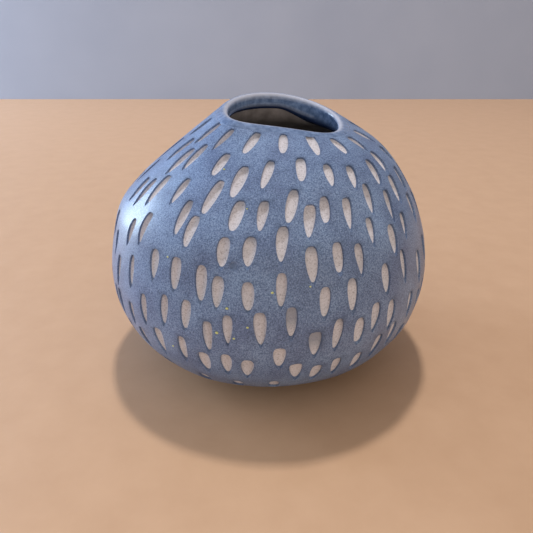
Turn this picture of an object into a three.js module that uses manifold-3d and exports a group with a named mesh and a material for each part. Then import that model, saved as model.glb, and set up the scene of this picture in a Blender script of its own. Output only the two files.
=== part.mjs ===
// Ceramic bud vase: a small hand-pinched, closed-in pot of buff stoneware. Blue slip covers the outside,
// rows of seed-shaped marks are carved into it, a glossy glaze rolls over the lip, and a clear glaze
// lines the inside. The front faces -Y, +X is to the right, and the middle of the foot is at the origin.
import * as THREE from "three";
import { mergeVertices } from "three/addons/utils/BufferGeometryUtils.js";
import Module from "manifold-3d";

const wasm = await Module();
wasm.setup();

// Driving dimensions, in millimetres.
const BELLY_RADIUS = 45; // over the slip
const BELLY_HEIGHT = 28; // of the widest ring
const RIM_HEIGHT = 68.4; // top of the bare clay lip, averaged round the mouth
const MOUTH_RADIUS = 16.1; // outside of the bare clay lip, before it is pushed out of round
const FOOT_RADIUS = 21; // flat bare disc that the vase stands on
const FOOT_HEIGHT = 1.6;
const BELLY_WALL = 5;
const LIP_WALL = 1.8;
const FLOOR = 6;
const SLIP = 0.5;
const GLAZE = 0.5; // over the lip
const LINER = 0.5;
const COAT_GAP = 0.2; // clearance between the clay and each coat
const SEAM_GAP = 0.3; // clearance between one coat's edge and the next
const BARE_EDGE = 2; // clay left bare outside the foot, along the wall
const GLAZE_OUTSIDE = 1.2; // how far the lip glaze laps down the outside
const GLAZE_INSIDE = 4; // how far the lip glaze runs down the throat
const GLAZE_ROLL = 0.7; // extra thickness of the roll that the run glaze ends in

const LIP_START = THREE.MathUtils.degToRad(58); // where the shoulder turns over into the lip

// How the round pot is pushed out of round by hand.
const LEAN = 3.9; // the mouth sits this far to the right
const LEAN_FROM = 44; // height where the lean starts
const RIM_TO_RIGHT = -1.7; // the lip drops towards the right
const RIM_TO_BACK = 2.1; // and climbs towards the back
const RIM_SADDLE = -0.6; // its front and back stand a little above its two sides
const RIM_REACH = 14; // how far down from the lip these bends are felt
const FRONT_PUSH = 2.4; // the front of the mouth is pressed straighter

// The carved marks. They stand in rows, and each strays a little from its even place, as by hand.
const MARK_LENGTH = 7.6;
const MARK_WIDTH = 3;
const MARK_SKIN = 0.15; // slip left under a mark, so that the coat stays one closed skin
const MARK_SPREAD = 0.14; // share by which a mark may be longer, shorter, wider or narrower
const MARK_TILT = THREE.MathUtils.degToRad(7);
const FIRST_ROW = 6.2; // from the lip down to the middle of the first row, along the wall
const ROW_PITCH = 9.3; // along the wall
const ROWS = [
  // phase: degrees from the front to the row's first mark. sway and climb: the most that a mark
  // strays round the pot and along the wall. across and along: the seeds of that straying.
  { marks: 18, phase: -1.5, sway: 0.63, climb: 0.85, across: 16341, along: 482638 },
  { marks: 27, phase: -6.2, sway: 1.9, climb: 2.27, across: 268445, along: 376151 },
  { marks: 39, phase: 2.9, sway: 1.9, climb: 3.4, across: 258377, along: 213766 },
  { marks: 39, phase: 1.4, sway: 1.9, climb: 3.4, across: 598747, along: 464340 },
  { marks: 40, phase: -4, sway: 1.9, climb: 3.4, across: 564087, along: 378806 },
  { marks: 46, phase: -3.4, sway: 1.9, climb: 3.4, across: 168796, along: 458932 },
  { marks: 48, phase: 0.8, sway: 1.9, climb: 3.4, across: 585000, along: 237810 },
  { marks: 26, phase: 3, sway: 1.5, climb: 1.2, across: 12, along: 34 },
];

// Fineness of the solids.
const SIDES = 40;
const OUTER_STEPS = 11;
const INNER_STEPS = 12;
const LIP_STEPS = 4;
const CUT_SAMPLES = 8; // along each mark

// ---- The section: half of the clay wall, as seen when the pot is cut down the middle.

// The clay stops short of the finished belly by the slip and its clearance.
const clayBelly = BELLY_RADIUS - SLIP - COAT_GAP;
const swell = clayBelly - FOOT_RADIUS;
const closing = clayBelly - MOUTH_RADIUS;
const shoulder = RIM_HEIGHT - BELLY_HEIGHT;

// The top of the lip is an arc that leaves the shoulder smoothly.
const lipRadius = LIP_WALL / 2;
const lipMiddle = new THREE.Vector2(MOUTH_RADIUS - lipRadius, RIM_HEIGHT - lipRadius);
function onLip(turn) {
  return new THREE.Vector2(Math.cos(turn), Math.sin(turn)).multiplyScalar(lipRadius).add(lipMiddle);
}

// Outside of the wall, from the foot past the belly and over the shoulder to the lip.
const outerCurve = new THREE.SplineCurve([
  new THREE.Vector2(FOOT_RADIUS, FOOT_HEIGHT),
  new THREE.Vector2(FOOT_RADIUS + 0.49 * swell, 0.19 * BELLY_HEIGHT),
  new THREE.Vector2(FOOT_RADIUS + 0.87 * swell, 0.52 * BELLY_HEIGHT),
  new THREE.Vector2(clayBelly, BELLY_HEIGHT),
  new THREE.Vector2(MOUTH_RADIUS + 0.885 * closing, BELLY_HEIGHT + 0.375 * shoulder),
  new THREE.Vector2(MOUTH_RADIUS + 0.71 * closing, BELLY_HEIGHT + 0.575 * shoulder),
  new THREE.Vector2(MOUTH_RADIUS + 0.47 * closing, BELLY_HEIGHT + 0.755 * shoulder),
  new THREE.Vector2(MOUTH_RADIUS + 0.255 * closing, BELLY_HEIGHT + 0.875 * shoulder),
  onLip(LIP_START),
]);

// Inside of the wall, from the lip down the throat and round to the middle of the floor.
const throat = MOUTH_RADIUS - LIP_WALL;
const innerSwell = clayBelly - BELLY_WALL - throat;
const innerRise = BELLY_HEIGHT - FLOOR;
const innerCurve = new THREE.SplineCurve([
  onLip(Math.PI),
  new THREE.Vector2(throat + 0.04 * innerSwell, BELLY_HEIGHT + 0.89 * shoulder),
  new THREE.Vector2(throat + 0.22 * innerSwell, BELLY_HEIGHT + 0.82 * shoulder),
  new THREE.Vector2(throat + 0.52 * innerSwell, BELLY_HEIGHT + 0.64 * shoulder),
  new THREE.Vector2(throat + 0.79 * innerSwell, BELLY_HEIGHT + 0.43 * shoulder),
  new THREE.Vector2(throat + innerSwell, BELLY_HEIGHT),
  new THREE.Vector2(throat + 0.78 * innerSwell, FLOOR + 0.42 * innerRise),
  new THREE.Vector2(throat + 0.29 * innerSwell, FLOOR + 0.06 * innerRise),
  new THREE.Vector2(0, FLOOR),
]);

// The rounded top of the lip, between the two.
const lipArc = [];
for (let i = 1; i < LIP_STEPS; i += 1) {
  lipArc.push(onLip(LIP_START + ((Math.PI - LIP_START) * i) / LIP_STEPS));
}

const wall = [
  ...outerCurve.getSpacedPoints(OUTER_STEPS),
  ...lipArc,
  ...innerCurve.getSpacedPoints(INNER_STEPS),
];
const reach = [0]; // distance along the wall from the top of the foot, at each of its points
for (let i = 1; i < wall.length; i += 1) {
  reach.push(reach[i - 1] + wall[i].distanceTo(wall[i - 1]));
}
const lipOuter = reach[OUTER_STEPS];
const lipInner = reach[OUTER_STEPS + LIP_STEPS];
const axis = reach[reach.length - 1];
const slipStart = BARE_EDGE;
const slipEnd = lipOuter - GLAZE_OUTSIDE;
const glazeEnd = lipInner + GLAZE_INSIDE;

// The clay's outward direction on the stretch that starts at point i.
function facing(i) {
  const along = wall[i + 1].clone().sub(wall[i]).normalize();
  return new THREE.Vector2(along.y, -along.x);
}

// The wall's surface between two distances along it, moved out by depth(distance).
function stretch(from, to, depth) {
  const points = [];
  const place = (i, distance, direction, stretchBy) => {
    const share = (distance - reach[i]) / (reach[i + 1] - reach[i]);
    const point = wall[i].clone().lerp(wall[i + 1], share);
    points.push(point.addScaledVector(direction, depth(distance) / stretchBy));
  };
  for (let i = 0; i + 1 < wall.length; i += 1) {
    if (reach[i] <= from && from < reach[i + 1]) {
      place(i, from, facing(i), 1);
    } else if (from < reach[i] && reach[i] < to) {
      const halfway = facing(i - 1).add(facing(i)).normalize();
      place(i, reach[i], halfway, halfway.dot(facing(i)));
    }
    if (reach[i] < to && to <= reach[i + 1]) {
      place(i, to, facing(i), 1);
    }
  }
  return points;
}

// ---- Turning the section into a solid, and pushing it out of round.

function bend(point) {
  const angle = Math.atan2(point.y, point.x);
  const felt = Math.max(0, 1 - (RIM_HEIGHT - point.z) / RIM_REACH) ** 2;
  const front = Math.max(0, -Math.sin(angle)) ** 2;
  const rim =
    RIM_TO_RIGHT * Math.cos(angle) + RIM_TO_BACK * Math.sin(angle) + RIM_SADDLE * Math.cos(2 * angle);
  point.x += LEAN * THREE.MathUtils.smoothstep(point.z, LEAN_FROM, RIM_HEIGHT);
  point.y += FRONT_PUSH * felt * front;
  point.z += felt * rim;
  return point;
}

// A closed ring, or a body on the axis, turned from its profile.
function turned(profile) {
  return new THREE.LatheGeometry(profile, SIDES).rotateX(Math.PI / 2);
}

function bent(geometry) {
  const position = geometry.getAttribute("position");
  const point = new THREE.Vector3();
  for (let i = 0; i < position.count; i += 1) {
    bend(point.fromBufferAttribute(position, i));
    position.setXYZ(i, point.x, point.y, point.z);
  }
  return geometry;
}

// A coat on the wall between two distances, with its own thickness at each distance.
function coat(from, to, thickness) {
  const over = stretch(from, to, (distance) => COAT_GAP + thickness(distance));
  const under = stretch(from, to, () => COAT_GAP).reverse();
  return turned([...over, ...under, over[0].clone()]);
}

function solid(geometry) {
  const bare = geometry.index ? geometry.toNonIndexed() : geometry.clone();
  bare.deleteAttribute("normal");
  bare.deleteAttribute("uv");
  const merged = mergeVertices(bare, 1e-3);
  return new wasm.Manifold(
    new wasm.Mesh({
      numProp: 3,
      vertProperties: merged.getAttribute("position").array,
      triVerts: new Uint32Array(merged.index.array),
    }),
  );
}

function geometryOf(manifold) {
  const mesh = manifold.getMesh();
  const geometry = new THREE.BufferGeometry();
  geometry.setAttribute("position", new THREE.BufferAttribute(mesh.vertProperties, 3));
  geometry.setIndex(new THREE.BufferAttribute(mesh.triVerts, 1));
  geometry.computeVertexNormals();
  return geometry;
}

// ---- The carved marks.

// A point on the face of the slip, so far down from the lip's outer edge and turned from the front.
function onSlip(down, angle) {
  const distance = lipOuter - down;
  const [point] = stretch(distance, axis, () => COAT_GAP + SLIP);
  return new THREE.Vector3(point.x * Math.sin(angle), -point.x * Math.cos(angle), point.y);
}

// A repeatable hand's unevenness between -1 and 1.
function uneven(row, column, seed) {
  const wobble = Math.sin(12.9898 * row + 78.233 * column + 37.719 * seed) * 43758.5453;
  return 2 * (wobble - Math.floor(wobble)) - 1;
}

// A blunt top that tapers to a point below.
function markOutline(width, length) {
  const shape = new THREE.Shape();
  shape.moveTo(0, -length / 2);
  shape.lineTo(0.5 * width, 0.12 * length);
  shape.lineTo(0.3 * width, 0.5 * length);
  shape.lineTo(-0.3 * width, 0.5 * length);
  shape.lineTo(-0.5 * width, 0.12 * length);
  shape.closePath();
  return shape;
}

function cutter(row, column, down, angle) {
  const length = MARK_LENGTH * (1 + MARK_SPREAD * uneven(row, column, 1));
  const width = MARK_WIDTH * (1 + MARK_SPREAD * uneven(row, column, 2));
  const top = onSlip(down - MARK_LENGTH / 2, angle);
  const bottom = onSlip(down + MARK_LENGTH / 2, angle);
  const up = top.clone().sub(bottom);
  const ring = new THREE.Vector3(Math.cos(angle), Math.sin(angle), 0);
  const out = new THREE.Vector3().crossVectors(ring, up).normalize();
  const across = new THREE.Vector3().crossVectors(up, out).normalize();
  // The cut's depth is measured from the highest point that it crosses, so it's nowhere too deep.
  const here = onSlip(down, angle);
  let highest = 0;
  for (let share = -0.5; share <= 0.5; share += 1 / CUT_SAMPLES) {
    const crossed = onSlip(down + share * length, angle);
    highest = Math.max(highest, crossed.sub(here).dot(out));
  }
  here.addScaledVector(out, highest);
  const depth = SLIP - MARK_SKIN;
  const outline = markOutline(width, length);
  const geometry = new THREE.ExtrudeGeometry(outline, { depth: 3 * depth, bevelEnabled: false });
  geometry.translate(0, 0, -depth);
  geometry.rotateZ(MARK_TILT * uneven(row, column, 3));
  const place = new THREE.Matrix4().makeBasis(across, up.normalize(), out);
  geometry.applyMatrix4(place.setPosition(here));
  return solid(geometry);
}

function markCutters() {
  const cutters = [];
  ROWS.forEach(({ marks, phase, sway, climb, across, along }, row) => {
    const middle = FIRST_ROW + ROW_PITCH * row;
    const radius = -onSlip(middle, 0).y;
    for (let column = 0; column < marks; column += 1) {
      const even = THREE.MathUtils.degToRad(phase + (360 * column) / marks);
      const angle = even + (sway / radius) * uneven(row, column, across);
      const down = middle + climb * uneven(row, column, along);
      cutters.push(cutter(row, column, down, angle));
    }
  });
  return wasm.Manifold.union(cutters);
}

// ---- The pieces.

// The clay has a ring of points wherever a coat ends, so that the two bend alike there.
function clayBody() {
  const edges = [0, slipStart, slipEnd, glazeEnd, axis];
  const profile = [new THREE.Vector2(0, 0), new THREE.Vector2(FOOT_RADIUS, 0), wall[0]];
  for (let i = 1; i < edges.length; i += 1) {
    profile.push(...stretch(edges[i - 1], edges[i], () => 0).slice(1));
  }
  return turned(profile);
}

function slipCoat() {
  const plain = solid(coat(slipStart, slipEnd, () => SLIP));
  return geometryOf(plain.subtract(markCutters()));
}

// The glaze runs down the throat and ends in a thick roll.
function lipGlaze() {
  const rollMiddle = glazeEnd - GLAZE_ROLL;
  const thickness = (distance) => {
    const near = 1 - Math.abs(distance - rollMiddle) / (2 * GLAZE_ROLL);
    return GLAZE + GLAZE_ROLL * Math.max(0, near);
  };
  return coat(slipEnd + SEAM_GAP, glazeEnd, thickness);
}

function linerGlaze() {
  const start = glazeEnd + SEAM_GAP;
  const over = stretch(start, axis, () => COAT_GAP + LINER);
  const under = stretch(start, axis, () => COAT_GAP).reverse();
  over[over.length - 1].x = 0;
  under[0].x = 0;
  return turned([...over, ...under, over[0].clone()]);
}

function piece(name, geometry, color, roughness) {
  const material = new THREE.MeshStandardMaterial({ color, roughness, metalness: 0 });
  const mesh = new THREE.Mesh(bent(geometry), material);
  mesh.name = name;
  return mesh;
}

const vase = new THREE.Group();
vase.add(piece("clay_body", clayBody(), 0xb9b0ae, 0.8));
vase.add(piece("slip_coat", slipCoat(), 0x7282a1, 0.45));
vase.add(piece("lip_glaze", lipGlaze(), 0x84929f, 0.2));
vase.add(piece("liner_glaze", linerGlaze(), 0x6d625c, 0.3));
export default vase;
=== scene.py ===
# %% [markdown]
# # A carved bud vase
# This is a small vase, pinched by hand from buff stoneware and closed in to a narrow mouth. It has four
# pieces that can be told apart: the clay, a coat of blue slip, a glossy glaze over the lip, and a clear
# glaze inside. The imported model gives the place and the size of each, so it is loaded first, and the box
# round it is kept; its bottom sets the height of the table.

# %% Load the imported model
from math import atan2, cos, pi, radians, sin, sqrt
import bmesh
import bpy
from mathutils import Matrix, Vector, kdtree, noise
from mathutils.geometry import interpolate_bezier


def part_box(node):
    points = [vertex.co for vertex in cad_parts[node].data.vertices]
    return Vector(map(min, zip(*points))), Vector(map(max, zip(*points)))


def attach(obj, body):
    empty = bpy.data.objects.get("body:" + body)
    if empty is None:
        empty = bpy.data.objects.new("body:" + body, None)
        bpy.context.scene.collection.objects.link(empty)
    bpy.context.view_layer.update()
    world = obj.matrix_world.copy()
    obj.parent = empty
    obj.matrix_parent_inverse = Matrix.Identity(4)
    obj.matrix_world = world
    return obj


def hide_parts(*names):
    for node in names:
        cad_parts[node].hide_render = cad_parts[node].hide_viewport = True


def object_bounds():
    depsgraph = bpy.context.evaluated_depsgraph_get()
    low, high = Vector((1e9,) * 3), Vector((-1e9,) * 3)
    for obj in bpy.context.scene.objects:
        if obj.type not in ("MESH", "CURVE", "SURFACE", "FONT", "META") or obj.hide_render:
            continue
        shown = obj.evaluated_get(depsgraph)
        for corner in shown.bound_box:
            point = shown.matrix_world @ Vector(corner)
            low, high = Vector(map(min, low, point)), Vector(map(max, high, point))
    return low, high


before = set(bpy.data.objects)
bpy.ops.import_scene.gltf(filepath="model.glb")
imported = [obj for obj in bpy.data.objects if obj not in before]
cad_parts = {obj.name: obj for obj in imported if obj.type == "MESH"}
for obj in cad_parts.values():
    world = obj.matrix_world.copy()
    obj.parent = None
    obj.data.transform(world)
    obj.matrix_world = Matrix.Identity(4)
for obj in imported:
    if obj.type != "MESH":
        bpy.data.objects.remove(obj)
packed_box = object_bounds()
print("packed box:", packed_box)

# %% [markdown]
# ## The section
# A pot is a shape of revolution before the hand pushes it out of round, so all its pieces come from one
# section: half of the wall, cut down the middle. Nine stations on the outside and nine on the inside are
# joined by a smooth curve, which is how a potter would draw it. The lengths are in millimetres here and
# become metres when a point is made. The belly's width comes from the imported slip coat.

# %% Sizes of the section
MM = 0.001
slip_low, slip_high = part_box("slip_coat")
belly_radius = (slip_high.x - slip_low.x) / 2 / MM
belly_height = 28
rim_height = 68.4
mouth_radius = 16.1
foot_radius = 21
foot_height = 1.6
belly_wall = 5
lip_wall = 1.2
floor_height = 6
slip_thickness = 0.5
coat_gap = 0.2
bare_edge = 2
lip_start = radians(58)
print(f"belly {2 * belly_radius:.1f} mm across")

clay_belly = belly_radius - slip_thickness - coat_gap
skin = 0.01  # how far the underside of a coat stands off the clay, so that the two faces don't fight
swell = clay_belly - foot_radius
closing = clay_belly - mouth_radius
shoulder = rim_height - belly_height
lip_radius = lip_wall / 2


def at(radius, height):
    """A point of the section, in metres."""
    return Vector((radius, 0, height)) * MM


def on_lip(turn):
    """A point on the rounded top of the lip."""
    return at(
        mouth_radius - lip_radius + lip_radius * cos(turn),
        rim_height - lip_radius + lip_radius * sin(turn),
    )


# %% A smooth line through the stations
def smooth_line(stations, step):
    """Points about one step apart on a smooth curve through the stations."""
    points = []
    last = len(stations) - 1
    for i in range(last):
        start, end = stations[i], stations[i + 1]
        leave = start + (end - stations[max(i - 1, 0)]) / 6
        arrive = end - (stations[min(i + 2, last)] - start) / 6
        count = max(3, round((end - start).length / step) + 1)
        points += interpolate_bezier(start, leave, arrive, end, count)[:-1]
    return points + [stations[-1]]


outside = smooth_line(
    [
        at(foot_radius, foot_height),
        at(foot_radius + 0.49 * swell, 0.19 * belly_height),
        at(foot_radius + 0.87 * swell, 0.52 * belly_height),
        at(clay_belly, belly_height),
        at(mouth_radius + 0.885 * closing, belly_height + 0.375 * shoulder),
        at(mouth_radius + 0.71 * closing, belly_height + 0.575 * shoulder),
        at(mouth_radius + 0.47 * closing, belly_height + 0.755 * shoulder),
        at(mouth_radius + 0.255 * closing, belly_height + 0.875 * shoulder),
        on_lip(lip_start),
    ],
    0.9 * MM,
)
throat = mouth_radius - lip_wall
inner_swell = clay_belly - belly_wall - throat
inner_rise = belly_height - floor_height
inside = smooth_line(
    [
        on_lip(pi),
        at(throat + 0.04 * inner_swell, belly_height + 0.89 * shoulder),
        at(throat + 0.22 * inner_swell, belly_height + 0.82 * shoulder),
        at(throat + 0.52 * inner_swell, belly_height + 0.64 * shoulder),
        at(throat + 0.79 * inner_swell, belly_height + 0.43 * shoulder),
        at(throat + inner_swell, belly_height),
        at(throat + 0.78 * inner_swell, floor_height + 0.42 * inner_rise),
        at(throat + 0.29 * inner_swell, floor_height + 0.06 * inner_rise),
        at(0, floor_height),
    ],
    1.4 * MM,
)
LIP_STEPS = 8
lip_arc = [on_lip(lip_start + (pi - lip_start) * i / LIP_STEPS) for i in range(1, LIP_STEPS)]
wall = outside + lip_arc + inside
print(len(outside), "points outside,", len(inside), "inside")

# %% Distances and directions along the wall
reach = [0.0]
for here, after in zip(wall, wall[1:]):
    reach.append(reach[-1] + (after - here).length)
lip_outer = reach[len(outside) - 1]
lip_inner = reach[len(outside) + len(lip_arc)]
axis_reach = reach[-1]


def outward(i):
    """The clay's outward direction at point i of the wall."""
    along = wall[min(i + 1, len(wall) - 1)] - wall[max(i - 1, 0)]
    return Vector((along.z, 0, -along.x)).normalized()


facing = [outward(i) for i in range(len(wall))]
facing[-1] = Vector((0, 0, 1))


def on_wall(distance, depth):
    """The point so far along the wall from the foot, moved out of the clay by depth."""
    low, high = 0, len(reach) - 1
    while high - low > 1:
        middle = (low + high) // 2
        low, high = (middle, high) if reach[middle] <= distance else (low, middle)
    share = (distance - reach[low]) / (reach[high] - reach[low])
    point = wall[low].lerp(wall[high], share)
    return point + facing[low].lerp(facing[high], share).normalized() * depth


print(f"wall {axis_reach / MM:.0f} mm long, lip at {lip_outer / MM:.1f} mm")

# %% [markdown]
# ## Turned pieces
# A potter's wheel is Blender's spin: a few points and edges in one plane are swept round the axis. Lathe
# work could also be done with a Screw modifier, but spin gives a finished mesh that can be carved. The
# first and last ring meet, so the spin merges them, and points on the axis are merged to one pole.


# %% Spin a profile into a solid
def turned(name, profile, sides):
    """A closed body of revolution from a profile that starts and ends on the axis, or is a closed loop."""
    mesh = bpy.data.meshes.new(name)
    bm = bmesh.new()
    corners = [bm.verts.new(point) for point in profile]
    edges = [bm.edges.new(pair) for pair in zip(corners, corners[1:])]
    on_axis = profile[0].x < 1e-9 and profile[-1].x < 1e-9
    if not on_axis:
        edges.append(bm.edges.new((corners[-1], corners[0])))
    bmesh.ops.spin(
        bm,
        geom=corners + edges,
        cent=(0, 0, 0),
        axis=(0, 0, 1),
        angle=2 * pi,
        steps=sides,
        use_merge=True,
    )
    bmesh.ops.remove_doubles(bm, verts=bm.verts, dist=1e-6)
    bmesh.ops.recalc_face_normals(bm, faces=bm.faces)
    bm.to_mesh(mesh)
    bm.free()
    piece = bpy.data.objects.new(name, mesh)
    bpy.context.scene.collection.objects.link(piece)
    return piece


def stretch(start, end, depth, step):
    """The section's line between two distances along the wall, moved out by depth(distance)."""
    count = max(2, round((end - start) / step))
    spots = [start + (end - start) * i / count for i in range(count + 1)]
    return [on_wall(spot, depth(spot)) for spot in spots]


def rise(value, low, high):
    """Climbs smoothly from 0 at low to 1 at high."""
    share = min(1.0, max(0.0, (value - low) / (high - low)))
    return share * share * (3 - 2 * share)


# %% [markdown]
# ## The clay and the slip over it
# The clay is one closed body with a flat foot. Liquid slip was brushed over the dry clay, so it is a thin
# skin with a feathered edge near the foot and under the lip. The skin is its own closed ring of slip, not
# paint, because the carving cuts through it and its cut edge shows.

# %% Turn the clay and the slip
SIDES = 168
slip_start = bare_edge * MM
slip_end = lip_outer - 1.2 * MM
glaze_end = lip_inner + 4 * MM


def clay_cover(spot):
    """The clay comes up to the underside of each coat."""
    return coat_gap * MM * rise(spot, 0, slip_start)


def coat_underside(spot):
    """The inner face of every coat, just clear of the clay."""
    return (coat_gap + skin) * MM


def slip_cover(spot):
    """Full thickness, feathered away over the last millimetre at both edges."""
    feather = rise(spot, slip_start, slip_start + 1.6 * MM) * (1 - rise(spot, slip_end - 1.2 * MM, slip_end))
    return (coat_gap + 0.12 + (slip_thickness - 0.12) * feather) * MM


clay_line = stretch(0.4 * MM, lip_outer, clay_cover, 1.1 * MM)
clay_line += stretch(lip_outer, axis_reach, clay_cover, 1.2 * MM)[1:]
clay_line[-1].x = 0
foot_line = [at(0, 0), at(foot_radius * 0.55, 0), at(foot_radius - 0.5, 0), at(foot_radius - 0.1, 0.25)]
clay = turned("stoneware_body", foot_line + clay_line, SIDES)
slip_over = stretch(slip_start, slip_end, slip_cover, 0.95 * MM)
slip_under = stretch(slip_start, slip_end, coat_underside, 1.5 * MM)
slip = turned("blue_slip", slip_over + slip_under[::-1], SIDES)
print(len(clay.data.polygons), "faces in the clay,", len(slip.data.polygons), "in the slip")

# %% [markdown]
# ## The carved marks
# Each mark is one stroke of a small loop tool: blunt and deep where the tool went in, narrow and shallow
# where it came out. One stroke is a sphere pressed into the shape of a drop, and a copy of it is laid on
# the wall at every place in the rows. The rows are even, and each mark strays from its even place by an
# amount that a fixed seed gives, so the hand's unevenness is the same in every build. Two marks on the
# front kept a wash of slip, and a fingertip left one dimple between the marks, so these three are placed.

# %% The rows of marks
MARK_LENGTH = 7.9 * MM
MARK_WIDTH = 2.8 * MM
MARK_DEPTH = 1.35 * MM
FIRST_ROW = 6.2 * MM
ROW_PITCH = 9.3 * MM
# marks in the row, degrees to its first mark, most sway round the pot, most climb, and two seeds
ROWS = [
    (18, -1.5, 0.63, 0.85, 16341, 482638),
    (27, -6.2, 1.9, 2.27, 268445, 376151),
    (39, 2.9, 1.9, 3.4, 258377, 213766),
    (39, 1.4, 1.9, 3.4, 598747, 464340),
    (40, -4.0, 1.9, 3.4, 564087, 378806),
    (46, -3.4, 1.9, 3.4, 168796, 458932),
    (48, 0.8, 1.9, 3.4, 585000, 237810),
    (26, 3.0, 1.5, 1.2, 12, 34),
]

# the room that each mark keeps round its middle, as a rounded box
ROOM_ACROSS = 1.22 * MARK_WIDTH
ROOM_ALONG = 1.04 * MARK_LENGTH
# millimetres that a mark may be moved down, to keep it clear of the ones already there
NUDGES = (0, 0.6, -0.6, 1.2, -1.2, 1.8, -1.8, 2.4)


def uneven(row, column, seed):
    """A repeatable hand's unevenness between -1 and 1."""
    wobble = sin(12.9898 * row + 78.233 * column + 37.719 * seed) * 43758.5453
    return 2 * (wobble % 1.0) - 1


def lay_out_marks():
    """Every mark as a dict, and none that would run into one already there."""
    marks = []
    for row, (count, phase, sway, climb, across, along) in enumerate(ROWS):
        middle = FIRST_ROW + ROW_PITCH * row
        radius = on_wall(lip_outer - middle, 0).x
        for column in range(count):
            turn = radians(phase + 360 * column / count) + sway * MM / radius * uneven(row, column, across)
            down = middle + climb * MM * uneven(row, column, along)
            mark = {
                "turn": (turn + pi) % (2 * pi) - pi,
                "down": down,
                "radius": on_wall(lip_outer - down, 0.7 * MM).x,
                "length": MARK_LENGTH * (1 + 0.14 * uneven(row, column, 1)),
                "width": MARK_WIDTH * (1 + 0.14 * uneven(row, column, 2)),
                "tilt": radians(1 + 4.5 * uneven(row, column, 3)),
                "blunt": 0.31 + 0.07 * uneven(row, column, 4),
                "taper": 0.68 + 0.20 * uneven(row, column, 5),
                "depth": MARK_DEPTH * (1 + 0.2 * uneven(row, column, 6)),
                "veil_and_shade": 0.5 + 0.5 * uneven(row, column, 7),
            }
            for nudge in NUDGES:
                mark["down"] = down + nudge * MM
                if all(apart(mark, other) for other in marks):
                    marks.append(mark)
                    break
    return marks


def apart(one, other):
    """Whether two marks leave some slip between them."""
    turn = (one["turn"] - other["turn"] + pi) % (2 * pi) - pi
    sideways = turn * one["radius"] / ROOM_ACROSS
    lengthways = (one["down"] - other["down"]) / ROOM_ALONG
    return abs(sideways) ** 3 + abs(lengthways) ** 3 > 1


marks = lay_out_marks()
print(len(marks), "marks laid out of", sum(row[0] for row in ROWS))

# two marks on the front kept a wash of slip over their upper half: degrees from the front, and mm down
WASHED = [(6.7, 49), (10.5, 53)]
for turn, down in WASHED:
    places = [(abs(mark["turn"] - radians(turn)) * mark["radius"] / MM + abs(mark["down"] / MM - down), i)
              for i, mark in enumerate(marks)]
    marks[min(places)[1]]["washed"] = True

# a fingertip's dimple, shallower than the slip is thick, painted as a dark spot
DIMPLE_TURN, DIMPLE_DOWN = -10.4, 36.6
marks.append({
    "turn": radians(DIMPLE_TURN), "down": DIMPLE_DOWN * MM,
    "radius": on_wall(lip_outer - DIMPLE_DOWN * MM, 0.7 * MM).x,
    "length": 2.1 * MM, "width": 2.0 * MM, "depth": 0.2 * MM,
    "tilt": 0.0, "blunt": 0.5, "taper": 0.5, "veil_and_shade": 1.0, "dimple": True,
})


# %% One stroke of the loop tool
BOWL_FULL = 0.77  # brings the deepest place of a stroke to about its full depth
LID = 0.8 * MM  # how far the stroke stands out of the slip, so that it cuts right through
LID_FLARE = 0.25  # and how much wider it is out there


def drop_spot(mark, point):
    """Where a point of the unit sphere goes: sideways, up the mark, and out of the slip."""
    share = max(-1.0, min(1.0, point.y))
    girth = sqrt(max(1e-12, 1 - share * share))
    side, level = point.x / girth, point.z / girth
    tip, end = (1 + share) / 2, max(0.0, 1 - share)
    fullest = mark["taper"] / (mark["taper"] + mark["blunt"])
    outline = (tip / fullest) ** mark["taper"] * (end / (2 - 2 * fullest)) ** mark["blunt"]
    bowl = tip**0.62 * end**0.28 / BOWL_FULL
    side = abs(side) ** 0.75 * (1 if side > 0 else -1)
    if level < 0:
        out = -mark["depth"] * bowl * abs(level) ** 0.72
    else:
        out = LID * level
        side *= 1 + LID_FLARE * level
    across = mark["width"] / 2 * outline * side
    up = mark["length"] / 2 * share
    return (
        across * cos(mark["tilt"]) + up * sin(mark["tilt"]),
        up * cos(mark["tilt"]) - across * sin(mark["tilt"]),
        out,
    )


def laid_on_wall(mark, point):
    """The same point, laid on the pot's curved face."""
    across, up, out = drop_spot(mark, point)
    flat = on_wall(lip_outer - mark["down"] + up, (slip_thickness + coat_gap) * MM + out)
    turn = mark["turn"] + across / mark["radius"]
    return Vector((flat.x * sin(turn), -flat.x * cos(turn), flat.z))


def strokes(name):
    """All the marks as one object of closed drops, ready to be cut away."""
    ball = bmesh.new()
    bmesh.ops.create_uvsphere(ball, u_segments=18, v_segments=12, radius=1)
    bmesh.ops.rotate(ball, verts=ball.verts, cent=(0, 0, 0), matrix=Matrix.Rotation(-pi / 2, 3, "X"))
    sphere = [vert.co.copy() for vert in ball.verts]
    one = bpy.data.meshes.new("one_stroke")
    bm = bmesh.new()
    for mark in marks:
        for vert, point in zip(ball.verts, sphere):
            vert.co = laid_on_wall(mark, point)
        ball.to_mesh(one)
        bm.from_mesh(one)
    ball.free()
    bpy.data.meshes.remove(one)
    bmesh.ops.recalc_face_normals(bm, faces=bm.faces)
    mesh = bpy.data.meshes.new(name)
    bm.to_mesh(mesh)
    bm.free()
    tool = bpy.data.objects.new(name, mesh)
    bpy.context.scene.collection.objects.link(tool)
    return tool


# %% Cut the strokes out of the slip and the clay
# edges shorter than this are left where two cuts just meet, and are closed up
SLIVER = 0.008 * MM


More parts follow.
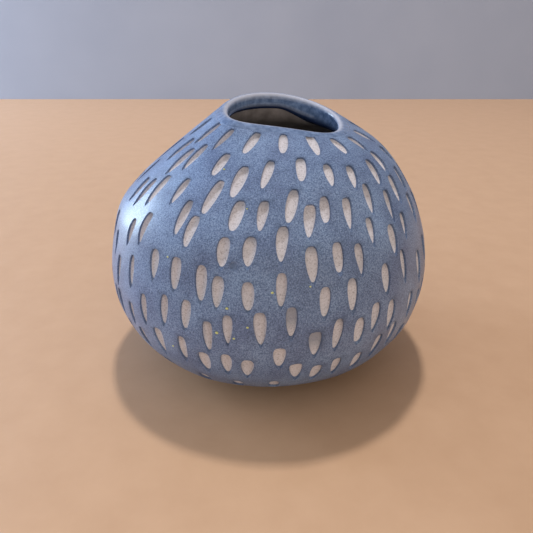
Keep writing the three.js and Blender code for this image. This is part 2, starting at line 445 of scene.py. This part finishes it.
def carve(piece, tool):
    """Takes the strokes away from the piece and keeps the result as its mesh."""
    cut = piece.modifiers.new("carve", "BOOLEAN")
    cut.operation = "DIFFERENCE"
    cut.object = tool
    cut.solver = "MANIFOLD"
    seen = bpy.context.evaluated_depsgraph_get()
    carved = bpy.data.meshes.new_from_object(piece.evaluated_get(seen))
    piece.modifiers.clear()
    piece.data = carved
    bm = bmesh.new()
    bm.from_mesh(carved)
    bmesh.ops.triangulate(bm, faces=bm.faces)
    bmesh.ops.dissolve_degenerate(bm, edges=bm.edges, dist=SLIVER)
    bm.to_mesh(carved)
    open_edges = sum(1 for edge in bm.edges if len(edge.link_faces) != 2)
    bm.free()
    corners = sum(len(face.vertices) - 2 for face in carved.polygons)
    print(piece.name, corners, "triangles,", open_edges, "open edges")


loop_tool = strokes("loop_tool_strokes")
carve(clay, loop_tool)
carve(slip, loop_tool)
bpy.data.objects.remove(loop_tool)

# %% [markdown]
# ## The glaze on the lip and the glaze inside
# The pot was dipped mouth down in a glossy glaze. It thinned over the crest of the lip, ran a little way
# down the throat, and stopped there in a thick dark roll. A thinner clear glaze lines the rest. Both are
# skins on the same wall, so they are spun from the same section with their own thickness. The run is
# longer on the right, because the pot was tipped that way, so both are then slid along the wall.

# %% Turn the two glazes
roll_middle = glaze_end - 1.0 * MM


def lip_cover(spot):
    """Feathered over the slip outside, thin on the crest, and a roll where the run stopped."""
    feather = rise(spot, slip_end - 2.6 * MM, slip_end + 0.4 * MM)
    crest_thin = 1 - 0.5 * rise(spot, slip_end, lip_outer + 0.8 * MM)
    roll = 1 - rise(abs(spot - roll_middle), 0, 1.5 * MM)
    return (coat_gap + 0.02 + slip_thickness * 0.96 * feather * crest_thin + 0.6 * roll) * MM


lip_over = stretch(slip_end - 1.0 * MM, glaze_end, lip_cover, 0.3 * MM)
lip_under = stretch(slip_end - 1.0 * MM, glaze_end, coat_underside, 0.5 * MM)
lip_glaze = turned("lip_glaze_roll", lip_over + lip_under[::-1], SIDES)
liner_over = stretch(glaze_end - 0.5 * MM, axis_reach, lambda spot: (coat_gap + 0.45) * MM, 1.3 * MM)
liner_under = stretch(glaze_end - 0.5 * MM, axis_reach, coat_underside, 1.3 * MM)
liner_over[-1].x = liner_under[-1].x = 0
liner = turned("liner_glaze_skin", liner_over + liner_under[::-1], 112)
print(len(lip_glaze.data.polygons), "faces in the lip glaze,", len(liner.data.polygons), "in the liner")


# %% Let the glaze run further on the right
def wall_place(point):
    """The distance along the wall, and the height out of the bare clay."""
    flat = Vector((sqrt(point.x**2 + point.y**2), 0, point.z))
    _, i, _ = wall_tree.find(flat)
    out = (flat - wall[i]).dot(facing[i])
    along = facing[i].z * -(flat - wall[i]).x + facing[i].x * (flat - wall[i]).z
    return reach[i] + along, out


wall_tree = kdtree.KDTree(len(wall))
for i, point in enumerate(wall):
    wall_tree.insert(point, i)
wall_tree.balance()

SHORT_RUN, LONG_RUN = 0.45, 1.35  # the run's length on the left and on the right, against its usual one
SLIDE_FADE = 9 * MM  # how far below the run the liner still gives way


def slid(point):
    """The point moved along the wall, by as much as the run is shorter or longer there."""
    spot, out = wall_place(point)
    if spot <= lip_inner or spot > glaze_end + SLIDE_FADE:
        return point
    turn = atan2(point.y, point.x)
    longer = SHORT_RUN + (LONG_RUN - SHORT_RUN) * rise(cos(turn), -0.1, 0.95) - 1
    moved = (spot - lip_inner) * longer if spot < glaze_end else (glaze_end - lip_inner) * longer
    moved *= 1 - rise(spot, glaze_end, glaze_end + SLIDE_FADE)
    flat = on_wall(spot + moved, out)
    return Vector((flat.x * cos(turn), flat.x * sin(turn), flat.z))


# how far each point is into the pool at the end of the run, and how near the crest of the lip, both
# measured before the glaze is slid
crest = (lip_outer + lip_inner) / 2
spots = [wall_place(vert.co)[0] for vert in lip_glaze.data.vertices]
in_pool = [rise(spot, glaze_end - 2.6 * MM, glaze_end - 1.1 * MM) for spot in spots]
# the crest is painted pale with this: partly glaze broken thin over the lip, partly a painted highlight
on_crest = [1 - rise(abs(spot - crest), 0, 0.62 * MM) for spot in spots]
for piece in (lip_glaze, liner):
    for vert in piece.data.vertices:
        vert.co = slid(vert.co)
print(f"the run is {SHORT_RUN} of its length on the left and {LONG_RUN} on the right")

# %% [markdown]
# ## Marks that colour follows
# Slip and glaze gather in every hollow, and painted shade darkens the top and the left side of each mark as
# well, so the colours have to know where a point is: how far up its own mark, how deep, and how far down the
# throat. These are measured on the round pot, where the wall's own distances are simple, and kept as
# attributes that the materials read. A texture could not do this, because no two marks are alike.

# %% Measure each point against the wall and its nearest mark
mark_tree = kdtree.KDTree(len(marks))
for i, mark in enumerate(marks):
    mark_tree.insert(laid_on_wall(mark, Vector((0, 0, -1))), i)
mark_tree.balance()


def mark_place(point, spot):
    """Where a point is in its nearest mark: up it from -1 to 1, across it, and the mark."""
    _, i, _ = mark_tree.find(point)
    mark = marks[i]
    turn = (atan2(point.x, -point.y) - mark["turn"] + pi) % (2 * pi) - pi
    across = turn * mark["radius"]
    up = spot - (lip_outer - mark["down"])
    along = up * cos(mark["tilt"]) + across * sin(mark["tilt"])
    side = across * cos(mark["tilt"]) - up * sin(mark["tilt"])
    return along / (mark["length"] / 2), side / (mark["width"] / 2), mark


def add_attribute(piece, name, values):
    """Keeps one number for each point of the mesh."""
    kept = piece.data.attributes.new(name, "FLOAT", "POINT")
    kept.data.foreach_set("value", values)


for piece in (clay, slip):
    pooled_and_shaded, sunk = [], []
    for vert in piece.data.vertices:
        spot, out = wall_place(vert.co)
        depth = (slip_thickness + coat_gap) * MM - out
        up, side, mark = mark_place(vert.co, spot)
        # the top of each mark is darkened, partly slip pooled there and partly painted shade under its steep
        # upper wall; its left side is painted shade only, as if lit from the left
        top_pool_and_shade = rise(up, 0.52, 0.96) * (1 - rise(abs(up), 1.0, 1.15))
        left_side_shade = rise(-side, 0.6, 1.0) * (1 - rise(-side, 1.0, 1.3)) * (1 - rise(abs(up), 0.7, 1.1))
        near = max(top_pool_and_shade * (1 - rise(abs(side), 0.9, 1.3)), 0.4 * left_side_shade)
        pool_and_shade = near * (0.4 + 0.6 * mark["veil_and_shade"])
        if "washed" in mark:
            wash = rise(up, -0.7, 0.4) * (1 - rise(up, 1.0, 1.2))
            pool_and_shade = max(pool_and_shade, wash * (1 - rise(abs(side), 0.95, 1.15)))
        # the dimple is painted as a dark spot
        if "dimple" in mark:
            pool_and_shade = 0.6 * (1 - rise(sqrt(up**2 + side**2), 0.3, 1.6))
        pooled_and_shaded.append(pool_and_shade)
        sunk.append(rise(depth, 0.02 * MM, 0.3 * MM))
    add_attribute(piece, "pooled_and_shaded", pooled_and_shaded)
    add_attribute(piece, "sunk", sunk)
add_attribute(lip_glaze, "crest", on_crest)
add_attribute(lip_glaze, "pooled_and_shaded", in_pool)
print(sum(len(piece.data.vertices) for piece in (clay, slip, lip_glaze)), "points measured")

# %% [markdown]
# ## Pushed out of round by hand
# The mouth leans to the right, its lip climbs towards the back, and the front of it is pressed straighter.
# The bend is the same rule for every piece, so the coats stay on the clay. A faint swell of noise over it
# gives the dents that pinching fingers leave.

# %% Bend every piece alike
LEAN, LEAN_FROM = 3.9, 44
RIM_TO_RIGHT, RIM_TO_BACK, RIM_SADDLE, RIM_REACH = -1.7, 2.1, -0.6, 14
FRONT_PUSH = 2.4
DENTS = 0.5


def bent(point):
    """Where a point of the round pot ends up."""
    x, y, z = point / MM
    turn = atan2(y, x)
    felt = max(0.0, 1 - (rim_height - z) / RIM_REACH) ** 2
    aside = atan2(x, -y)
    front = cos(3 * aside) if abs(aside) < pi / 2 else 0.0
    rim = RIM_TO_RIGHT * cos(turn) + RIM_TO_BACK * sin(turn) + RIM_SADDLE * cos(2 * turn)
    moved = Vector((x + LEAN * rise(z, LEAN_FROM, rim_height), y + FRONT_PUSH * felt * front, z + felt * rim))
    outwards = Vector((x, y, 0.3 * (z - belly_height)))
    if outwards.length > 0:
        swelling = noise.noise(point * 42 + Vector((3.1, 7.7, 1.3))) + 0.4 * noise.noise(point * 110)
        moved += outwards.normalized() * DENTS * swelling * rise(z, 1, 9)
    return moved * MM


for piece in (clay, slip, lip_glaze, liner):
    for vert in piece.data.vertices:
        vert.co = bent(vert.co)
    piece.data.set_sharp_from_angle(angle=radians(38))
    piece.data.polygons.foreach_set("use_smooth", [True] * len(piece.data.polygons))
    piece.data.update()
print("bent", [piece.name for piece in (clay, slip, lip_glaze, liner)])

# %% [markdown]
# ## Specks of ash
# A few grains of ash fell on the wet coat and melted into tiny yellow-green beads. Each is a small ball
# pressed flat on the face. They are too few and too uneven for a texture, so they are listed one by one: how
# far round from the front, and how far down from the lip.

# %% Lay the specks
SPECKS = [(-27, 15, 0.30), (-33, 37, 0.26), (-10, 24, 0.22), (1, 42, 0.34), (-12, 46, 0.36), (-6, 50, 0.30),
          (-15, 52, 0.40), (-10, 53, 0.30), (12, 41, 0.24), (-31, 59, 0.28), (140, 30, 0.3), (96, 48, 0.3)]
bm = bmesh.new()
for turn, down, size in SPECKS:
    spot = lip_outer - down * MM
    flat = on_wall(spot, (slip_thickness + coat_gap) * MM)
    centre = bent(Vector((flat.x * sin(radians(turn)), -flat.x * cos(radians(turn)), flat.z)))
    bead = bmesh.ops.create_icosphere(bm, subdivisions=2, radius=size * MM)
    squashed = Matrix.Diagonal((1.0, 0.45, 0.85, 1.0))
    placed = Matrix.Translation(centre) @ Matrix.Rotation(radians(turn), 4, "Z") @ squashed
    bmesh.ops.transform(bm, verts=bead["verts"], matrix=placed)
speck_mesh = bpy.data.meshes.new("ash_specks")
bm.to_mesh(speck_mesh)
bm.free()
speck_mesh.polygons.foreach_set("use_smooth", [True] * len(speck_mesh.polygons))
specks = bpy.data.objects.new("ash_specks", speck_mesh)
bpy.context.scene.collection.objects.link(specks)
print(len(SPECKS), "specks")

# %% [markdown]
# ## Finishes
# The slip is satin: fine dark grains in a lighter blue, with broad uneven patches where the brush left
# more or less of it. The bare clay in the marks is pale and dry with a few dark grains. The glazes are
# glossy. The edges of the marks carry pooled slip and painted shade, the inside of the mouth painted shade,
# and the crest of the lip thin glaze and a painted highlight. All the patterns are noise on Object
# coordinates, in metres, so their grain keeps its real size.


# %% Small helpers for node materials
def new_finish(name, roughness, coat=0.0, coat_roughness=0.1):
    """A material, its nodes, and its shader."""
    finish = bpy.data.materials.new(name)
    finish.use_nodes = True
    nodes = finish.node_tree.nodes
    shader = nodes["Principled BSDF"]
    shader.inputs["Roughness"].default_value = roughness
    shader.inputs["Coat Weight"].default_value = coat
    shader.inputs["Coat Roughness"].default_value = coat_roughness
    return finish, nodes, shader


def grain(finish, scale, detail=2.0, rough=0.5):
    """Noise whose features are about one part in scale of a metre."""
    nodes, links = finish.node_tree.nodes, finish.node_tree.links
    place = nodes.get("Place") or nodes.new("ShaderNodeTexCoord")
    place.name = "Place"
    noise_node = nodes.new("ShaderNodeTexNoise")
    noise_node.inputs["Scale"].default_value = scale
    noise_node.inputs["Detail"].default_value = detail
    noise_node.inputs["Roughness"].default_value = rough
    links.new(place.outputs["Object"], noise_node.inputs["Vector"])
    return noise_node.outputs["Fac"]


def ramp(finish, factor, *stops):
    """Colours along a factor: (position, (r, g, b)) pairs."""
    node = finish.node_tree.nodes.new("ShaderNodeValToRGB")
    finish.node_tree.links.new(factor, node.inputs["Fac"])
    while len(node.color_ramp.elements) < len(stops):
        node.color_ramp.elements.new(0.5)
    for element, (position, colour) in zip(node.color_ramp.elements, stops):
        element.position = position
        element.color = (*colour, 1)
    return node.outputs["Color"]


def blend(finish, factor, first, second, way="MIX"):
    """Mixes two colours, each a socket or an (r, g, b)."""
    node = finish.node_tree.nodes.new("ShaderNodeMix")
    node.data_type = "RGBA"
    node.blend_type = way
    for name, value in (("Factor", factor), ("A", first), ("B", second)):
        socket = next(s for s in node.inputs if s.name == name and s.enabled)
        if isinstance(value, bpy.types.NodeSocket):
            finish.node_tree.links.new(value, socket)
        else:
            socket.default_value = (*value, 1) if isinstance(value, tuple) else value
    return next(s for s in node.outputs if s.enabled)


def share_of(finish, factor, amount):
    """A factor made weaker."""
    node = finish.node_tree.nodes.new("ShaderNodeMath")
    node.operation = "MULTIPLY"
    finish.node_tree.links.new(factor, node.inputs[0])
    node.inputs[1].default_value = amount
    return node.outputs["Value"]


def measured(finish, name):
    """One of the attributes kept on the mesh."""
    node = finish.node_tree.nodes.new("ShaderNodeAttribute")
    node.attribute_name = name
    return node.outputs["Fac"]


def relief(finish, shader, height, depth):
    """Fine relief, depth in metres."""
    node = finish.node_tree.nodes.new("ShaderNodeBump")
    node.inputs["Strength"].default_value = 0.8
    node.inputs["Distance"].default_value = depth
    finish.node_tree.links.new(height, node.inputs["Height"])
    finish.node_tree.links.new(node.outputs["Normal"], shader.inputs["Normal"])


# %% Blue slip
slip_finish, _, shader = new_finish("satin_blue_slip", 0.39, coat=0.15, coat_roughness=0.25)
body_blue = ramp(slip_finish, grain(slip_finish, 3100, 3, 0.7),
                 (0.34, (0.044, 0.078, 0.166)), (0.5, (0.117, 0.178, 0.325)), (0.66, (0.212, 0.292, 0.470)))
patches = ramp(slip_finish, grain(slip_finish, 95, 3, 0.6),
               (0.34, (0.76, 0.75, 0.80)), (0.66, (1.20, 1.20, 1.16)))
body_blue = blend(slip_finish, 1.0, body_blue, patches, "MULTIPLY")
# dark navy at the tops and left sides of the marks: partly slip pooled there, partly painted shade
body_blue = blend(slip_finish, share_of(slip_finish, measured(slip_finish, "pooled_and_shaded"), 0.68), body_blue,
                  (0.045, 0.075, 0.150))
# the slip's cut walls painted darker blue: partly glaze pooled on them, partly painted shade on the steep
# walls
body_blue = blend(slip_finish, share_of(slip_finish, measured(slip_finish, "sunk"), 0.35), body_blue,
                  (0.060, 0.095, 0.175))
slip_finish.node_tree.links.new(body_blue, shader.inputs["Base Color"])
relief(slip_finish, shader, grain(slip_finish, 1100, 3, 0.6), 0.05 * MM)

# %% Pale stoneware
clay_finish, _, shader = new_finish("pale_stoneware", 0.62)
body_clay = ramp(clay_finish, grain(clay_finish, 2600, 3, 0.7),
                 (0.33, (0.32, 0.305, 0.34)), (0.45, (0.52, 0.505, 0.56)), (0.75, (0.63, 0.62, 0.69)))
# clay darkened bluish at the tops and left sides of the marks: slip veiled into the top, with painted shade
# at the top and on the left
body_clay = blend(clay_finish, share_of(clay_finish, measured(clay_finish, "pooled_and_shaded"), 0.7), body_clay,
                  (0.17, 0.20, 0.28))
clay_finish.node_tree.links.new(body_clay, shader.inputs["Base Color"])
relief(clay_finish, shader, grain(clay_finish, 900, 4, 0.65), 0.09 * MM)

# %% Lip glaze and liner glaze
lip_finish, _, shader = new_finish("glossy_lip_glaze", 0.27, coat=0.3, coat_roughness=0.16)
body_lip = ramp(lip_finish, grain(lip_finish, 700, 3, 0.6),
                (0.35, (0.066, 0.112, 0.225)), (0.65, (0.150, 0.222, 0.390)))
# the crest of the lip painted pale: partly glaze broken thin over it, partly a painted highlight
body_lip = blend(lip_finish, share_of(lip_finish, measured(lip_finish, "crest"), 0.9), body_lip,
                 (0.46, 0.48, 0.58))
body_lip = blend(lip_finish, measured(lip_finish, "pooled_and_shaded"), body_lip, (0.010, 0.020, 0.060))
lip_finish.node_tree.links.new(body_lip, shader.inputs["Base Color"])
relief(lip_finish, shader, grain(lip_finish, 420, 2, 0.5), 0.06 * MM)

liner_finish, _, shader = new_finish("clear_liner_glaze", 0.28)
# painted much darker than the pale clay under the clear glaze, as painted shade inside the narrow mouth
liner_with_painted_shade = ramp(liner_finish, grain(liner_finish, 260, 4, 0.6),
                  (0.3, (0.130, 0.118, 0.120)), (0.7, (0.225, 0.206, 0.212)))
liner_finish.node_tree.links.new(liner_with_painted_shade, shader.inputs["Base Color"])
relief(liner_finish, shader, grain(liner_finish, 160, 3, 0.5), 0.25 * MM)

speck_finish, _, shader = new_finish("melted_ash", 0.3)
body_speck = ramp(speck_finish, grain(speck_finish, 2600, 2, 0.5),
                  (0.35, (0.34, 0.38, 0.12)), (0.65, (0.56, 0.58, 0.26)))
speck_finish.node_tree.links.new(body_speck, shader.inputs["Base Color"])

for piece, finish in ((clay, clay_finish), (slip, slip_finish), (lip_glaze, lip_finish),
                      (liner, liner_finish), (specks, speck_finish)):
    piece.data.materials.clear()
    piece.data.materials.append(finish)
print("finishes given")

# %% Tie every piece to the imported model
for piece, node, slot_name in (
    (clay, "clay_body", "stoneware"),
    (slip, "slip_coat", "blue_slip"),
    (lip_glaze, "lip_glaze", "lip_glaze"),
    (liner, "liner_glaze", "liner_glaze"),
):
    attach(piece, "root")
    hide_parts(node)
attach(specks, "root")
print("4 pieces stand for packed nodes, and the specks ride with them")

# %% [markdown]
# ## The table, the room and the light
# The vase stands on a plain pale table in front of a plain wall. One small lamp hangs almost overhead and
# a little behind, so the shadow falls towards the front with a clear edge. A cool window stands to the
# left and behind, and makes the bright patch on the left shoulder. A cool fill on the left, a weak warm
# one in front and even light from the room do the rest. Only the window may be mirrored in a shiny face.


# %% Table and wall
def plain_sheet(name, size_x, size_y, placed):
    """A flat sheet with its place in its mesh."""
    mesh = bpy.data.meshes.new(name)
    bm = bmesh.new()
    bmesh.ops.create_grid(bm, x_segments=1, y_segments=1, size=0.5)
    bmesh.ops.scale(bm, verts=bm.verts, vec=(size_x, size_y, 1))
    bmesh.ops.transform(bm, verts=bm.verts, matrix=placed)
    bm.to_mesh(mesh)
    bm.free()
    sheet = bpy.data.objects.new(name, mesh)
    bpy.context.scene.collection.objects.link(sheet)
    return sheet


table = plain_sheet("table_top", 4.0, 3.0, Matrix.Translation((0, -0.6, packed_box[0].z)))
wall_sheet = plain_sheet("plain_wall", 5.0, 2.4,
                         Matrix.Translation((0, 0.54, 0.9)) @ Matrix.Rotation(pi / 2, 4, "X"))
table_finish, _, shader = new_finish("pale_table", 0.5)
body_table = ramp(table_finish, grain(table_finish, 90, 4, 0.6),
                  (0.3, (0.455, 0.285, 0.178)), (0.7, (0.485, 0.308, 0.196)))
table_finish.node_tree.links.new(body_table, shader.inputs["Base Color"])
wall_finish, _, shader = new_finish("plain_wall_paint", 0.9)
body_wall = ramp(wall_finish, grain(wall_finish, 12, 2, 0.5),
                 (0.3, (0.32, 0.36, 0.47)), (0.7, (0.35, 0.39, 0.50)))
wall_finish.node_tree.links.new(body_wall, shader.inputs["Base Color"])
table.data.materials.append(table_finish)
wall_sheet.data.materials.append(wall_finish)
print("table at", round(packed_box[0].z / MM, 2), "mm")


# %% Lamps
def lamp(name, place, target, width, height, watts, colour, mirrored=True):
    """A soft rectangular lamp that the camera doesn't see, nor a shiny face when it isn't mirrored."""
    light = bpy.data.lights.new(name, "AREA")
    light.shape = "RECTANGLE"
    light.size, light.size_y = width, height
    light.energy = watts
    light.color = colour
    holder = bpy.data.objects.new(name, light)
    holder.location = place
    holder.rotation_euler = (Vector(target) - Vector(place)).to_track_quat("-Z", "Y").to_euler()
    holder.visible_camera = False
    holder.visible_glossy = mirrored
    bpy.context.scene.collection.objects.link(holder)
    return holder


lamp("overhead", (0.0, 0.40, 1.45), (0, 0, 0.03), 0.11, 0.11, 14.0, (1.0, 0.98, 0.95), mirrored=False)
lamp("window", (-0.80, 0.40, 0.23), (0, 0, 0.04), 0.36, 0.44, 7.6, (0.66, 0.82, 1.0))
lamp("left_fill", (-0.95, -0.20, 0.25), (0, 0, 0.03), 0.60, 0.40, 3.5, (0.52, 0.76, 1.0), mirrored=False)
lamp("front_fill", (0.45, -1.20, 0.26), (0, 0, 0.03), 0.90, 0.44, 4.4, (1.0, 0.88, 0.73), mirrored=False)
room = bpy.data.worlds.new("room")
room.use_nodes = True
room.node_tree.nodes["Background"].inputs["Color"].default_value = (1.0, 0.90, 0.79, 1)
room.node_tree.nodes["Background"].inputs["Strength"].default_value = 0.64
bpy.context.scene.world = room
bpy.context.scene.view_settings.view_transform = "Standard"

# %% Camera
LOOKING_DOWN = 25  # degrees
camera = bpy.data.cameras.new("camera")
camera.lens = 36.07
camera.sensor_width = 36
camera.clip_start = 0.005
viewer = bpy.data.objects.new("camera", camera)
viewer.location = (-0.0005, -0.1452, 0.0915)
viewer.rotation_euler = (radians(90 - LOOKING_DOWN), 0, 0)
bpy.context.scene.collection.objects.link(viewer)
bpy.context.scene.camera = viewer
print("camera", tuple(round(value, 4) for value in viewer.location), "looking down", LOOKING_DOWN, "degrees")
